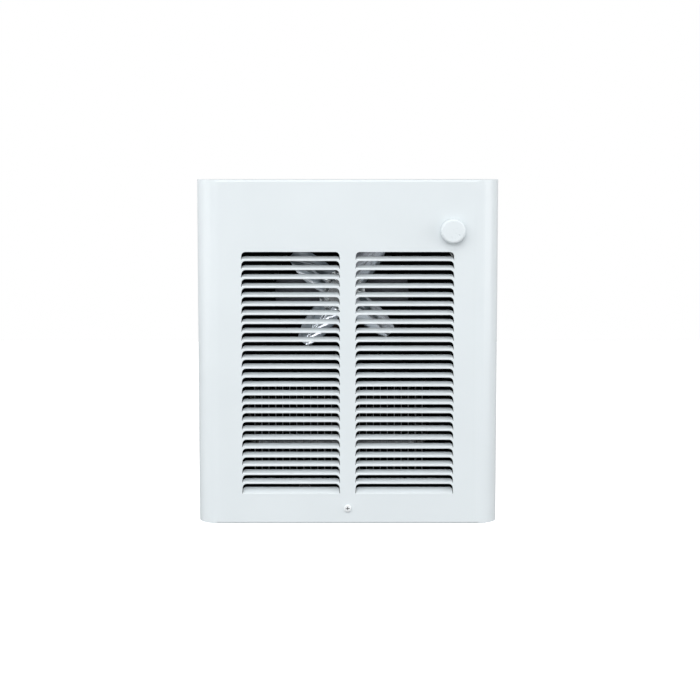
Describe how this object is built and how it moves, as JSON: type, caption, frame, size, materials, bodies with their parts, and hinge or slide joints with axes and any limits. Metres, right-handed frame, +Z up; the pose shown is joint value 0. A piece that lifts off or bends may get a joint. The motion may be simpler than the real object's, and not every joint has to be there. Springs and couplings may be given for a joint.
{
  "type": "recessed wall fan heater",
  "caption": "Recessed wall fan heater: white cover with two banks of louvres and a round knob, over a steel wall box holding a propeller fan and a finned element.",
  "frame": {"origin": "centre of the wall box's back face", "axes": "+X to the right as seen from the room, +Y into the wall, +Z up; the cover faces -Y"},
  "size_m": [0.41, 0.148, 0.47],
  "materials": {
    "white_enamel": "semi-gloss baked enamel, slightly cool white",
    "white_plastic": "satin moulded",
    "zinc_screws": "bright zinc plate",
    "galvanised": "galvanised sheet with faint spangle",
    "black_paint": "satin black",
    "black_phenolic": "moulded phenolic",
    "lamination": "varnished laminations",
    "nylon": "natural nylon",
    "coil_tape": "amber tape",
    "die_cast": "die-cast",
    "bronze": "sintered bronze",
    "shaft_steel": "ground steel",
    "aluminium": "bright stamped sheet",
    "sheath_steel": "oxidised steel tube",
    "fin_steel": "bright fins",
    "porcelain": "glazed porcelain",
    "copper": "copper tube",
    "red_plastic": "moulded",
    "wire_insulation": "insulated lead"
  },
  "bodies": {
    "housing": {"front_cover": "white_enamel", "cover_screw": "zinc_screws", "cover_bracket": "galvanised", "hanger_tabs": "galvanised", "wall_box_wrapper": "galvanised", "wall_box_top": "galvanised", "wall_box_bottom": "galvanised", "supply_bushing": "black_phenolic", "ground_screw": "zinc_screws", "fan_deck": "black_paint", "deck_screws": "zinc_screws", "orifice_ring": "black_paint", "control_partition": "galvanised", "air_baffle": "black_paint", "motor_strap": "galvanised", "motor_stator": "lamination", "motor_bobbin": "nylon", "motor_coil": "coil_tape", "motor_front_bracket": "die_cast", "motor_rear_bracket": "die_cast", "motor_bearings": "bronze", "motor_bolts": "zinc_screws", "element_sheath": "sheath_steel", "element_fins": "fin_steel", "element_end_plates": "galvanised", "terminal_insulators": "porcelain", "terminal_pins": "zinc_screws", "outlet_guard": "zinc_screws", "guard_legs": "zinc_screws", "thermostat_bracket": "galvanised", "thermostat_body": "black_phenolic", "thermostat_bulb": "copper", "thermal_cutout": "black_phenolic", "fan_delay_switch": "black_phenolic", "disconnect_switch": "black_phenolic", "terminal_block": "porcelain", "terminal_screws": "zinc_screws", "element_leads": "wire_insulation", "motor_leads": "wire_insulation", "control_leads": "wire_insulation"},
    "fan_rotor": {"motor_rotor": "lamination", "motor_shaft": "shaft_steel", "fan_blade": "aluminium", "fan_hub": "shaft_steel", "fan_rivets": "zinc_screws", "fan_set_screw": "shaft_steel"},
    "knob": {"control_knob": "white_plastic", "thermostat_shaft": "zinc_screws"},
    "reset_button": {"reset_button": "red_plastic"},
    "switch_rocker": {"disconnect_rocker": "black_phenolic"}
  },
  "joints": [
    {"name": "fan_spin", "type": "hinge", "parent": "housing", "child": "fan_rotor", "pos_m": [-0.008, -0.05, 0.077], "axis": [0, 1, 0], "continuous": true},
    {"name": "knob_turn", "type": "hinge", "parent": "housing", "child": "knob", "pos_m": [0.142, -0.13, 0.166], "axis": [0, -1, 0], "range_deg": [0, 250]},
    {"name": "reset_press", "type": "slide", "parent": "housing", "child": "reset_button", "axis": [0, 1, 0], "range_m": [0, 0.0015], "stiffness_N_per_m": 200},
    {"name": "switch_rock", "type": "hinge", "parent": "housing", "child": "switch_rocker", "pos_m": [0.162, -0.07, 0.04], "axis": [-1, 0, 0], "range_deg": [0, 24]}
  ]
}
